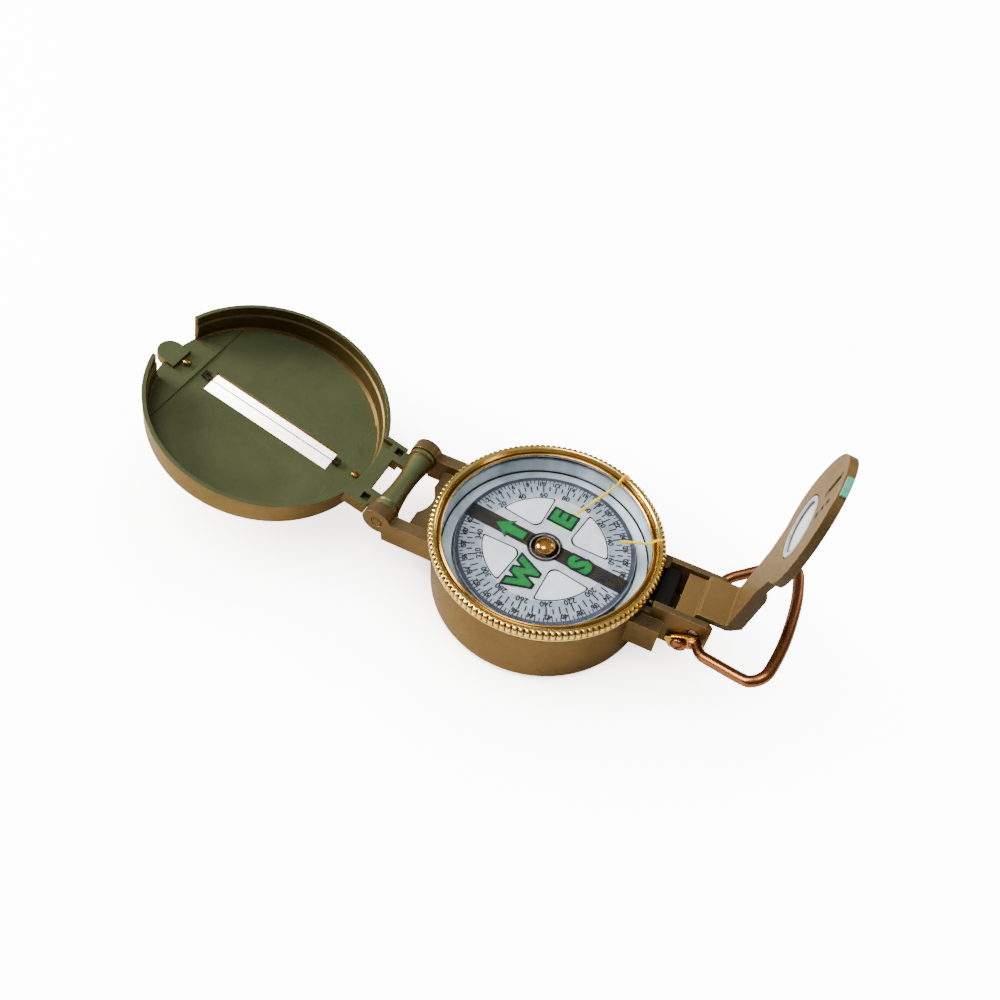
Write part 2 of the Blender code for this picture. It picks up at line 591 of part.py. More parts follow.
# ---------------------------------------------------------------- thumb loop
def thumb_loop(hinge):
    """Bent wire with a flattened eye at each end. Its frame is centred on the loop's axis."""
    half = [(RAIL_OUT + GAP + EYE_THICK / 2, 3.5), (9.3, 4.3), (10.8, 5.3), (12.0, 6.9),
            (13.2, 9.5), (16.3, 16.6), (16.7, 18.8), (15.4, 21.0), (12.6, 22.2), (5.0, 23.3)]
    route = [Vector((x, -out, 0)) for x, out in half]
    route += [Vector((-place.x, place.y, 0)) for place in reversed(route)]
    loop = wire("thumb_loop", smooth(route, 4), LOOP_WIRE_R, place=PARTS, parent=hinge,
                paint=COPPER)
    eyes = []
    corner = 0.8
    for side in (-1, 1):
        faces = sorted((side * (RAIL_OUT + GAP), side * (RAIL_OUT + GAP + EYE_THICK)))
        outline = [(EYE_INNER, EYE_HALF - corner), (EYE_INNER - corner, EYE_HALF),
                   (2.5 - EYE_OUTER, EYE_HALF), (-EYE_OUTER, 1.2), (-EYE_OUTER, -1.2),
                   (2.5 - EYE_OUTER, -EYE_HALF), (EYE_INNER - corner, -EYE_HALF),
                   (EYE_INNER, corner - EYE_HALF)]
        eyes.append(plate("loop_eye", outline, EYE_THICK, at=(sum(faces) / 2, 0, 0),
                          turn=(90, 0, 90), parent=hinge))
    bore = cylinder("eye_bore", SCREW_R + GAP, (-20, 0, 0), (20, 0, 0), parent=hinge)
    relief = box("rail_relief", (-RAIL_OUT - GAP, -6, -3), (RAIL_OUT + GAP, 4, 3), parent=hinge)
    combine(loop, "UNION", eyes)
    combine(loop, "DIFFERENCE", [bore, relief])


def loop_screws():
    inner = RAIL_IN + 0.1
    face = RAIL_OUT + GAP + EYE_THICK + GAP
    for name, side in (("loop_screw_left", -1), ("loop_screw_right", 1)):
        dome = arc((0, 0), 1.9, 90, 0, 5)
        screw = turned(name, [*[(r, face + 0.2 + z * 0.42) for r, z in dome], (1.9, face),
                              (SCREW_R, face), (SCREW_R, inner), (0, inner)],
                       facets=SMALL, place=PARTS, paint=COPPER, at=(0, LOOP_Y, LOOP_Z),
                       turn=(0, 90 * side, 0))
        ends = sorted((side * (face + 0.55), side * (face + 3)))
        combine(screw, "DIFFERENCE", [box("screw_slot", (ends[0], -0.25, -3), (ends[1], 0.25, 3),
                                          at=(0, LOOP_Y, LOOP_Z), turn=(35, 0, 0))])


def bracket_pin():
    cylinder("bracket_pin", BRACKET_PIN_R, (-RAIL_OUT, BRACKET_Y, BRACKET_Z),
             (RAIL_OUT, BRACKET_Y, BRACKET_Z), place=PARTS, paint=STEEL)


def rest_pad():
    """Rubber block between the rails that closes the pocket round the plunger."""
    pad = box("rest_pad", (-BRACKET_HALF, PAD_REAR, POCKET_FLOOR + GAP),
              (BRACKET_HALF, -BEZEL_R - GAP, PAD_TOP), place=PARTS, paint=RUBBER)
    soften = pad.modifiers.new("soften", "BEVEL")
    soften.width = 0.5 * MM
    soften.segments = 2
    combine(pad, "DIFFERENCE", [plunger_hole("pad_hole", -40, -20)])


def plunger_hole(name, start, end):
    return cylinder(name, PLUNGER_R + 0.2, (0, start, PLUNGER_Z), (0, end, PLUNGER_Z), facets=20)


def lock_plunger():
    """Pin that the folding lens bracket pushes in, to work the card lifter."""
    turned("lock_plunger", [(0, 12.2), (0.6, 12.2), (PLUNGER_R, 11.7), (PLUNGER_R, 0.8),
                            (1.6, 0.8), (1.6, 0.2), (1.4, 0), (0, 0)], facets=20, place=PARTS,
           paint=STEEL, at=(0, PLUNGER_Y, PLUNGER_Z), turn=(-90, 0, 0))


def card_lifter(hinge):
    """Lever under the card, with a ring round the pivot post. Its frame is centred on its pin."""
    strip = [(-1.0, -1.0), (1.0, -1.0), (1.6, 2.0), (1.6, 17.4),
             *arc((0, -LIFTER_Y), 3.6, -60, 240, 18), (-1.6, 17.4), (-1.6, 2.0)]
    lever = plate("card_lifter", strip, 0.6, at=(0, 0, 0.75), place=PARTS, parent=hinge,
                  paint=STEEL)
    combine(lever, "UNION", [cylinder("lifter_knuckle", 1.0, (-1.8, 0, 0), (1.8, 0, 0),
                                      facets=20, parent=hinge)])
    combine(lever, "DIFFERENCE", [
        cylinder("lifter_bore", LIFTER_PIN_R + 0.05, (-5, 0, 0), (5, 0, 0), parent=hinge),
        cylinder("lifter_eye", 2.1, (0, -LIFTER_Y, -3), (0, -LIFTER_Y, 3), parent=hinge)])


def lifter_pin():
    cylinder("lifter_pin", LIFTER_PIN_R, (-3.4, LIFTER_Y, LIFTER_Z), (3.4, LIFTER_Y, LIFTER_Z),
             place=PARTS, paint=STEEL)


# ---------------------------------------------------------------- build
for old in list(bpy.data.objects):
    bpy.data.objects.remove(old)

PARTS = bpy.data.collections.new("sighting_compass")
TOOLS = bpy.data.collections.new("cutters")
for collection in (PARTS, TOOLS):
    bpy.context.scene.collection.children.link(collection)

OLIVE = material("olive_paint", (0.10, 0.105, 0.035), 0.42, 0.25)
OLIVE_BRASS = material("olive_brass", (0.30, 0.20, 0.08), 0.38, 0.7)
TAN = material("tan_paint", (0.38, 0.27, 0.13), 0.45, 0.35)
GOLD = material("polished_gold", (0.95, 0.66, 0.22), 0.18, 1.0)
BRASS = material("brass", (0.72, 0.50, 0.18), 0.25, 1.0)
COPPER = material("copper_brown", (0.42, 0.22, 0.12), 0.3, 0.9)
SILVER = material("silver_bowl", (0.62, 0.66, 0.70), 0.32, 0.8)
STEEL = material("steel", (0.55, 0.55, 0.55), 0.3, 1.0)
DARK_STEEL = material("dark_steel", (0.09, 0.08, 0.06), 0.5, 0.8)
CARD_WHITE = material("card_white", (0.74, 0.75, 0.78), 0.55, 0.0)
MAGNET_BLACK = material("magnet_black", (0.05, 0.045, 0.04), 0.45, 0.3)
GLASS = material("clear_glass", (0.92, 0.96, 0.96), 0.05, 0.0)
RUBBER = material("black_rubber", (0.02, 0.02, 0.02), 0.8, 0.0)
LUME = material("lume", (0.55, 0.85, 0.62), 0.6, 0.0)

case_shell()
dial_bowl()
pivot_post()
compass_card()
magnet_bar()
jewel_cap()
bezel_ring()
glass()
bezel_spring()
lock_plunger()
lifter_pin()
rest_pad()
bracket_pin()
loop_screws()
cover_hinge_pin()

cover_hinge = pivot("cover_hinge", (0, HINGE_Y, HINGE_Z), (COVER_OPEN, 0, 0))
cover_shell(cover_hinge)
sight_wire(cover_hinge)
lume_dots(cover_hinge)

bracket_hinge = pivot("bracket_hinge", (0, BRACKET_Y, BRACKET_Z))
lens_bracket(bracket_hinge)
lens_parts(bracket_hinge)

loop_hinge = pivot("loop_hinge", (0, LOOP_Y, LOOP_Z), (-LOOP_RISE, 0, 0))
thumb_loop(loop_hinge)

lifter_hinge = pivot("lifter_hinge", (0, LIFTER_Y, LIFTER_Z))
card_lifter(lifter_hinge)
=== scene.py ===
"""Looks for the open lensatic compass: materials for the solids of the frame, and detailed pieces
for the reeded bezel, the printed dial, the sight lines, the lens plate's marks and the wire loop.

Everything is in the frame's axes: +Z up along the dial's axis, +Y along the sight line. The sizes
of the pieces are in millimetres. The floor, the lamps and the camera are in metres.
"""
import json
import math

import bmesh
import bpy
from mathutils import Matrix, Vector


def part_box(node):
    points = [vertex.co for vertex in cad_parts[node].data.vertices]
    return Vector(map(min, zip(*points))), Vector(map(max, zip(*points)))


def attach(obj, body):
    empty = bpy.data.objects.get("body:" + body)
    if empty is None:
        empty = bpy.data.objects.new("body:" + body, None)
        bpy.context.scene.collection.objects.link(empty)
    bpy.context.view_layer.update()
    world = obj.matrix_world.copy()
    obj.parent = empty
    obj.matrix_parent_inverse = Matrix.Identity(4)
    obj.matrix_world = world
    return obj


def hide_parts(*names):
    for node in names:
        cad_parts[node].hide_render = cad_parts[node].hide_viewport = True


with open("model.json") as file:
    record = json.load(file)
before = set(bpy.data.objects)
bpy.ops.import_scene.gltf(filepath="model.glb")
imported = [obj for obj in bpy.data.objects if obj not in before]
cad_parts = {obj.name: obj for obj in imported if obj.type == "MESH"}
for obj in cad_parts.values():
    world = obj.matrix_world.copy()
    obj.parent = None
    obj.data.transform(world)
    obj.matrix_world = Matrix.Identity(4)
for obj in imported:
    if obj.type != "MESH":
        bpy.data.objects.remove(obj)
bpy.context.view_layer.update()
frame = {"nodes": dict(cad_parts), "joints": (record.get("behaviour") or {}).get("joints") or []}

MM = 0.001
NODES = frame["nodes"]
JOINTS = {joint["name"]: joint for joint in frame["joints"]}
SAME_POINT = 1e-7  # metres within which two points of a piece are joined


# ---------------------------------------------------------------- node trees
class Shader:
    """A Principled material with short calls for the nodes that drive it."""

    def __init__(self, name, colour, roughness, metallic=0.0, **sockets):
        self.material = bpy.data.materials.new(name)
        self.material.use_nodes = True
        self.tree = self.material.node_tree
        self.surface = self.tree.nodes["Principled BSDF"]
        self.set(self.surface, "Base Color", (*colour, 1.0))
        self.set(self.surface, "Roughness", roughness)
        self.set(self.surface, "Metallic", metallic)
        for socket, value in sockets.items():
            self.set(self.surface, socket.replace("_", " "), value)
        coordinates = self.tree.nodes.new("ShaderNodeTexCoord")
        self.place = coordinates.outputs["Object"]
        self.normal = coordinates.outputs["Normal"]

    def set(self, node, socket, value):
        target = node.inputs[socket]
        if isinstance(value, bpy.types.NodeSocket):
            self.tree.links.new(value, target)
        else:
            target.default_value = value

    def node(self, kind, output=0, properties=(), **inputs):
        """Add a node and return an output. An input goes by its name, or as i0, i1 by number."""
        made = self.tree.nodes.new(kind)
        for key, value in properties:
            setattr(made, key, value)
        for socket, value in inputs.items():
            numbered = socket[0] == "i" and socket[1:].isdigit()
            self.set(made, int(socket[1:]) if numbered else socket.replace("_", " "), value)
        return made.outputs[output]

    def stretched(self, scale):
        return self.node("ShaderNodeMapping", Vector=self.place, Scale=scale)

    def noise(self, scale, detail=4.0, rough=0.55, warp=0.0, vector=None):
        return self.node("ShaderNodeTexNoise", "Fac", Vector=vector or self.place, Scale=scale,
                         Detail=detail, Roughness=rough, Distortion=warp)

    def hairlines(self):
        return self.noise(1.0, 3.0, 0.6, 0.0, self.stretched((600, 600, 6000)))

    def spread(self, value, low, high, out_low=0.0, out_high=1.0):
        return self.node("ShaderNodeMapRange", i0=value, i1=low, i2=high, i3=out_low,
                         i4=out_high)

    def mix(self, factor, first, second):
        made = self.tree.nodes.new("ShaderNodeMix")
        made.data_type = "RGBA"
        self.set(made, 0, factor)
        for socket, colour in ((6, first), (7, second)):
            linked = isinstance(colour, bpy.types.NodeSocket)
            self.set(made, socket, colour if linked else (*colour, 1.0))
        return made.outputs[2]

    def maths(self, operation, first, second):
        return self.node("ShaderNodeMath", properties=(("operation", operation),), i0=first,
                         i1=second)

    def dot(self, first, second):
        return self.node("ShaderNodeVectorMath", "Value", (("operation", "DOT_PRODUCT"),),
                         i0=first, i1=second)

    def soft_normal(self, radius):
        return self.node("ShaderNodeBevel", properties=(("samples", 6),), Radius=radius)

    def edges(self, radius):
        """0 on flat faces, rising to 1 on worn outer edges."""
        true = self.node("ShaderNodeNewGeometry", "Normal")
        turned = self.maths("SUBTRACT", 1.0, self.dot(self.soft_normal(radius), true))
        return self.spread(turned, 0.02, 0.25)

    def two_tone(self, value, low, high, dark, light):
        """Base colour from dark to light, as value goes from low to high."""
        self.set(self.surface, "Base Color", self.mix(self.spread(value, low, high), dark, light))

    def roughen(self, value, low, high, smooth, rough):
        """Roughness from smooth to rough, as value goes from low to high."""
        self.set(self.surface, "Roughness", self.spread(value, low, high, smooth, rough))

    def bump(self, height, distance, strength=1.0, round_edge=0.0):
        inputs = {"Height": height, "Distance": distance, "Strength": strength}
        if round_edge:
            inputs["Normal"] = self.soft_normal(round_edge)
        self.set(self.surface, "Normal", self.node("ShaderNodeBump", **inputs))


# ---------------------------------------------------------------- materials
def shaded(colour, share):
    return tuple(channel * share for channel in colour)


def coated_metal(name, floor, wall, worn, roughness, metallic, edge=0.25, up=(0.0, 0.0, 1.0)):
    """Satin coating over metal, in one colour on the faces that look along up and in another on
    the rest: cloudy, with a fine sprayed grain, rubbed edges and scuffs."""
    made = Shader(name, floor, roughness, metallic, Specular_IOR_Level=0.15,
                  Specular_Tint=(0.80, 0.66, 0.46, 1.0))
    cloud = made.spread(made.noise(60.0, 5.0, 0.6, 0.4), 0.32, 0.68)
    # facing picks the first colour: two-tone paint on the cover and case, painted shade on the lens
    # bracket's faces that look along −X
    facing = made.spread(made.dot(made.normal, up), 0.55, 0.9)
    side = made.mix(cloud, shaded(wall, 0.75), wall)
    top = made.mix(cloud, shaded(floor, 0.75), floor)
    flecks = made.noise(2600.0, 2.0, 0.7)
    flecked = made.mix(made.spread(flecks, 0.4, 0.8, 0.0, 0.12), made.mix(facing, side, top), worn)
    rub = made.maths("MULTIPLY", made.edges(edge * MM), made.spread(made.noise(420.0), 0.35, 0.6))
    made.set(made.surface, "Base Color", made.mix(rub, flecked, worn))
    made.set(made.surface, "Metallic", made.spread(facing, 0.0, 1.0, metallic, metallic * 0.4))
    scuffs = made.noise(900.0, 4.0, 0.65, 0.3)
    made.set(made.surface, "Roughness",
             made.maths("ADD", made.spread(scuffs, 0.3, 0.7, roughness - 0.04, roughness + 0.06),
                        made.maths("MULTIPLY", rub, -0.12)))
    grain = made.maths("ADD", flecks, made.maths("MULTIPLY", scuffs, 0.5))
    made.bump(grain, 0.0072 * MM, 0.4, edge * MM * 0.8)
    return made.material


def bright_metal(name, light, dark, roughness, scale=300.0, edge=0.12):
    """Plated or polished metal: faint tarnish and fine hairlines."""
    made = Shader(name, light, roughness, 1.0)
    tarnish = made.noise(scale, 5.0, 0.6, 0.5)
    made.two_tone(tarnish, 0.4, 0.75, light, dark)
    lines = made.hairlines()
    made.roughen(made.maths("ADD", tarnish, lines), 0.7, 1.35, roughness * 0.7, roughness * 1.7)
    made.bump(lines, 0.004 * MM, 0.3, edge * MM)
    return made.material


def gilded(name, light, dark, shade):
    """Polished gold plate, with painted shade: the mesh's value for each point darkens it down
    between the teeth and in the seam between the lips.
    """
    made = Shader(name, light, 0.14, 1.0)
    tarnish = made.noise(140.0, 5.0, 0.6, 0.5)
    plate = made.mix(made.spread(tarnish, 0.35, 0.7), light, dark)
    groove_shade = made.node("ShaderNodeAttribute", "Fac", (("attribute_name", "groove_shade"),))
    made.set(made.surface, "Base Color", made.mix(groove_shade, plate, shade))
    lines = made.hairlines()
    made.roughen(lines, 0.3, 0.7, 0.11, 0.22)
    made.bump(lines, 0.003 * MM, 0.3)
    return made.material


def paint(name, colour, roughness, speck=0.08, painted_glow=0.0):
    """Printed ink or luminous paint, slightly uneven, which can be given a painted glow of its own
    colour.
    """
    made = Shader(name, colour, roughness, Specular_IOR_Level=0.15)
    uneven = made.noise(1800.0, 3.0, 0.6)
    made.two_tone(uneven, 0.3, 0.7, shaded(colour, 1.0 - 3 * speck), colour)
    made.roughen(uneven, 0.3, 0.7, roughness - 0.08, roughness + 0.08)
    made.bump(uneven, 0.006 * MM, 0.4)
    made.set(made.surface, "Emission Color", (*colour, 1.0))
    made.set(made.surface, "Emission Strength", painted_glow)
    return made.material


def glass(name, tint, bend=1.14, clearness=1.0):
    """Clear glass that lets the lamps through to what lies under it."""
    made = Shader(name, tint, 0.0, Transmission_Weight=clearness, IOR=bend)
    made.roughen(made.noise(160.0, 4.0, 0.6, 0.6), 0.5, 0.8, 0.0, 0.03)
    shadow = made.node("ShaderNodeLightPath", "Is Shadow Ray")
    clear = made.node("ShaderNodeBsdfTransparent")
    blend = made.node("ShaderNodeMixShader", i0=shadow, i1=made.surface.outputs[0], i2=clear)
    made.set(made.tree.nodes["Material Output"], "Surface", blend)
    return made.material


def bowl_metal(name, dark, light):
    """Silvery painted bowl with soft streaks down its wall."""
    made = Shader(name, (0.38, 0.46, 0.52), 0.34, 0.55)
    streaks = made.noise(1.0, 3.0, 0.5, 0.3, made.stretched((150, 150, 14)))
    made.two_tone(streaks, 0.35, 0.65, dark, light)
    made.roughen(streaks, 0.3, 0.7, 0.26, 0.42)
    made.bump(streaks, 0.03 * MM, 0.3)
    return made.material


def card_stock(name, dark, light):
    """Printed card, cool grey and a little mottled, with a pearly sheen."""
    made = Shader(name, light, 0.42, Specular_IOR_Level=0.25)
    mottle = made.noise(240.0, 4.0, 0.6, 0.3)
    made.two_tone(mottle, 0.3, 0.7, dark, light)
    made.roughen(mottle, 0.3, 0.7, 0.34, 0.5)
    made.bump(made.noise(3000.0, 2.0), 0.003 * MM, 0.4)
    return made.material


def rubber(name, dark, light):
    made = Shader(name, (0.004, 0.004, 0.004), 0.75, Specular_IOR_Level=0.1)
    grain = made.noise(2400.0, 3.0, 0.7)
    made.two_tone(grain, 0.3, 0.7, dark, light)
    made.roughen(grain, 0.3, 0.7, 0.65, 0.9)
    made.bump(grain, 0.03 * MM, 0.6, 0.3 * MM)
    return made.material


COVER_TILT = math.radians(19.1)
COVER_UP = (0.0, -math.sin(COVER_TILT), math.cos(COVER_TILT))
OLIVE = coated_metal("olive_paint", (0.090, 0.112, 0.052), (0.170, 0.108, 0.040),
                     (0.24, 0.17, 0.06), 0.38, 0.80, edge=0.15, up=COVER_UP)
OLIVE_BRASS = coated_metal("olive_brass", (0.085, 0.062, 0.030), (0.162, 0.098, 0.040),
                           (0.45, 0.28, 0.08), 0.36, 0.80)
# painted shade: the lens bracket's faces that look along −X take the dark first colour and less
# metal, so they look shaded
TAN = coated_metal("tan_paint", (0.060, 0.040, 0.018), (0.180, 0.110, 0.040), (0.50, 0.30, 0.08),
                   0.42, 0.45, up=(-1.0, 0.0, 0.0))
GOLD = gilded("polished_gold", (1.0, 0.74, 0.20), (0.92, 0.52, 0.08), (0.20, 0.070, 0.014))
BRASS = bright_metal("jewel_brass", (0.70, 0.36, 0.07), (0.22, 0.09, 0.02), 0.10, 700.0)
COPPER = bright_metal("copper_brown", (0.30, 0.115, 0.040), (0.10, 0.038, 0.018), 0.24, 28.0, 0.5)
EYE_GOLD = bright_metal("eye_gold", (0.90, 0.42, 0.05), (0.50, 0.18, 0.02), 0.18, 160.0)
STEEL = bright_metal("steel", (0.50, 0.48, 0.44), (0.30, 0.28, 0.24), 0.25)
DARK_STEEL = bright_metal("dark_steel", (0.075, 0.055, 0.03), (0.03, 0.02, 0.012), 0.35)
SILVER = bowl_metal("silver_bowl", (0.34, 0.41, 0.46), (0.56, 0.63, 0.68))
CARD = card_stock("card_white", (0.25, 0.27, 0.32), (0.34, 0.36, 0.42))
BAND = card_stock("card_band", (0.125, 0.160, 0.195), (0.215, 0.255, 0.30))
PANEL = card_stock("card_panel", (0.39, 0.40, 0.45), (0.50, 0.51, 0.57))
BAR = paint("magnet_dark", (0.014, 0.011, 0.008), 0.45)
INK = paint("black_ink", (0.004, 0.005, 0.008), 0.5)
GREY_INK = paint("grey_ink", (0.045, 0.055, 0.075), 0.5)
GREEN = paint("green_ink", (0.004, 0.105, 0.022), 0.45)
HALO = paint("pale_green_ink", (0.24, 0.42, 0.28), 0.5, 0.04)
# painted glow: the sight lines give off light of their own colour
YELLOW = paint("luminous_yellow_painted_glow", (0.90, 0.60, 0.0), 0.4, painted_glow=0.35)
# painted shade round the lens plate's slit and side holes
RECESS_SHADE = paint("recess_shade_brown", (0.075, 0.032, 0.008), 0.5)
LUME = paint("lume", (0.10, 0.46, 0.33), 0.5)
GLASS = glass("clear_glass", (0.985, 0.995, 1.0))
LENS = glass("lens_glass", (0.80, 0.84, 0.85), 1.45, 0.55)
RUBBER = rubber("black_rubber", (0.002, 0.002, 0.002), (0.006, 0.006, 0.005))

FINISH = {
    "case_shell": OLIVE_BRASS, "dial_bowl": SILVER, "pivot_post": STEEL, "lifter_pin": STEEL,
    "rest_pad": RUBBER, "bezel_spring": DARK_STEEL, "cover_hinge_pin": OLIVE_BRASS,
    "bracket_pin": STEEL, "loop_screw_left": COPPER, "loop_screw_right": COPPER,
    "bezel_ring": GOLD, "crystal": GLASS, "crystal_gasket": SILVER, "compass_card": CARD,
    "magnet_bar": BAR, "jewel_cap": BRASS, "cover_shell": OLIVE, "sighting_wire": DARK_STEEL,
    "wire_anchor_near": DARK_STEEL, "wire_anchor_far": DARK_STEEL, "lume_dot_near": BRASS,
    "lume_dot_far": BRASS, "lens_bracket": TAN, "lens": LENS, "lens_ring": SILVER,
    "lume_dot_sight": LUME, "thumb_loop": COPPER, "lock_plunger": STEEL, "card_lifter": STEEL,
}
TRUE_EDGE = 28  # degrees; the frame's facets meet at less, and are shaded as one surface
for node, finish in FINISH.items():
    solid = NODES[node]
    solid.data.materials.clear()
    solid.data.materials.append(finish)
    weld = solid.modifiers.new("weld", "WELD")
    weld.merge_threshold = 0.000001
    split = solid.modifiers.new("split", "EDGE_SPLIT")
    split.split_angle = math.radians(TRUE_EDGE)
    solid.data.shade_smooth()
    solid.modifiers.new("normals", "WEIGHTED_NORMAL")


# ---------------------------------------------------------------- making pieces
def piece(name, mesh, finish, body, replaces=(), smooth=True, crease=32):
    """Add a mesh, already in the frame's axes, as a piece that rides on a body."""
    made = bpy.data.objects.new(name, mesh)
    bpy.context.scene.collection.objects.link(made)
    mesh.materials.clear()
    mesh.materials.append(finish)
    if smooth:
        mesh.shade_smooth()
        mesh.set_sharp_from_angle(angle=math.radians(crease))
    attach(made, body)
    if replaces:
        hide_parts(*replaces)
    return made


def revolve(name, profile, steps, ripple=None):
    """Turn a closed loop of (radius, z), in millimetres, round Z. A ripple moves each point."""
    verts, faces = [], []
    count = len(profile)
    for step in range(steps):
        angle = 2 * math.pi * step / steps
        for index, (radius, z) in enumerate(profile):
            if ripple:
                radius, z = ripple(index, radius, z, angle)
            verts.append((radius * MM * math.cos(angle), radius * MM * math.sin(angle), z * MM))
    for step in range(steps):
        here, there = step * count, (step + 1) % steps * count
        for index in range(count):
            after = (index + 1) % count
            faces.append((here + index, there + index, there + after, here + after))
    mesh = bpy.data.meshes.new(name)
    mesh.from_pydata(verts, [], faces)
    shape = bmesh.new()
    shape.from_mesh(mesh)
    bmesh.ops.remove_doubles(shape, verts=shape.verts, dist=SAME_POINT)
    bmesh.ops.dissolve_degenerate(shape, dist=SAME_POINT / 10, edges=shape.edges)
    bmesh.ops.recalc_face_normals(shape, faces=shape.faces)
    shape.to_mesh(mesh)
    shape.free()
    return mesh


def arc(centre, radius, start, end, count):
    angles = [math.radians(start + (end - start) * step / count) for step in range(count + 1)]
    return [(centre[0] + radius * math.cos(a), centre[1] + radius * math.sin(a)) for a in angles]


def circle(radius, step, centre=(0, 0)):
    """A closed circle with a point every so many degrees."""
    return arc(centre, radius, 0, 360 - step, 360 // step - 1)


def rounded(corners):
    """A closed outline from (x, y, reach). A corner is rounded that far along both its sides,
    or nearly half of a shorter side. A reach of 0 leaves the point as it is."""
    drawn = []
    for index, (x, y, reach) in enumerate(corners):
        if not reach:
            drawn.append((x, y))
            continue
        here = Vector((x, y))
        back = Vector(corners[index - 1][:2]) - here
        ahead = Vector(corners[(index + 1) % len(corners)][:2]) - here
        reach = min(reach, back.length * 0.48, ahead.length * 0.48)
        start, end = here + back.normalized() * reach, here + ahead.normalized() * reach
        for step in range(7):
            t = step / 6
            point = start * (1 - t) ** 2 + here * 2 * t * (1 - t) + end * t ** 2
            drawn.append((point.x, point.y))
    return drawn


def curve_mesh(curve):
    """The mesh that a curve or text draws. The curve is removed."""
    drawn = bpy.data.objects.new(curve.name, curve)
    bpy.context.scene.collection.objects.link(drawn)
    bpy.context.view_layer.update()
    seen = drawn.evaluated_get(bpy.context.evaluated_depsgraph_get())
    mesh = bpy.data.meshes.new_from_object(seen)
    bpy.data.objects.remove(drawn)
    bpy.data.curves.remove(curve)
    return mesh


def merged(name, meshes):
    """One mesh from a list of (mesh, matrix)."""
    shape = bmesh.new()
    for mesh, matrix in meshes:
        mesh.transform(matrix)
        shape.from_mesh(mesh)
        bpy.data.meshes.remove(mesh)
    bmesh.ops.remove_doubles(shape, verts=shape.verts, dist=SAME_POINT)
    whole = bpy.data.meshes.new(name)
    shape.to_mesh(whole)
    shape.free()
    return whole


CAPITAL = 0.69  # height of a capital as a share of the font's size


def text(body, height, thick, bold=0.0, rim=0.0):
    """Text of a given capital height, centred on the origin, in millimetres. With a rim it is
    the dark line round the letter instead of the letter."""
    curve = bpy.data.curves.new("text", "FONT")
    curve.body = body
    curve.align_x = "CENTER"
    curve.align_y = "CENTER"
    curve.size = height / CAPITAL * MM
    curve.extrude = thick * MM / 2
    curve.offset = (bold + rim / 2) * MM
    curve.resolution_u = 3
    if rim:
        curve.fill_mode = "NONE"
        curve.extrude = 0.0
        curve.bevel_depth = rim * MM / 2
        curve.bevel_resolution = 2
    mesh = curve_mesh(curve)
    if rim:
        mesh.transform(Matrix.Diagonal((1.0, 1.0, thick / rim, 1.0)))
    return mesh


def outline(points, thick):
    """A flat shape, in millimetres, inside a loop of (x, y) or between several loops."""
    curve = bpy.data.curves.new("outline", "CURVE")
    curve.dimensions = "2D"
    curve.fill_mode = "BOTH"
    curve.extrude = thick * MM / 2
    for loop in points if isinstance(points[0], list) else [points]:
        add_line(curve, loop, True)
    return curve_mesh(curve)


def wire(points, radius, closed=False, resolution=3):
    """Round wire along a line of (x, y, z), in millimetres."""
    curve = bpy.data.curves.new("wire", "CURVE")
    curve.dimensions = "3D"
    curve.bevel_depth = radius * MM
    curve.bevel_resolution = resolution
    curve.use_fill_caps = True
    add_line(curve, points, closed)
    return curve_mesh(curve)


def add_line(curve, points, closed):
    line = curve.splines.new("POLY")
    line.points.add(len(points) - 1)
    for point, place in zip(line.points, points):
        x, y, z = (*place, 0.0)[:3]
        point.co = (x * MM, y * MM, z * MM, 1)
    line.use_cyclic_u = closed


def stroke(across, along, thick):
    """A thin printed stroke, centred on the origin."""
    x, y = across / 2, along / 2
    return outline([(-x, -y), (x, -y), (x, y), (-x, y)], thick)


def clockwise(degrees, radius, height):
    """Place at a dial angle, clockwise from north, with the piece's +Y pointing outwards."""
    turn = Matrix.Rotation(math.radians(-degrees), 4, "Z")
    return turn @ Matrix.Translation(Vector((0, radius, height)) * MM)


# ---------------------------------------------------------------- bezel
TEETH = 124
TOOTH_STEPS = 10   # points round the rim for each tooth
TOOTH_DEPTH = 0.5
TOOTH_POWER = 1.35  # above 1, the teeth are wider than the gaps
BEZEL_R = 28.5
BEZEL_TOP = 21.6
TEETH_R, TEETH_Z = 27.0, 19.6  # the teeth are outside and above these
SLOPE_Z = 20.5  # the teeth lean in above this
SEAM = (25.6, 26.2, 20.85)  # seam between the lips, darkened with painted shade: inner and outer radius, and top


def valley(angle):
    """0 on the crest of a tooth, 1 at the bottom of a gap."""
    return (1.0 - abs(math.cos(TEETH / 2 * angle))) ** TOOTH_POWER


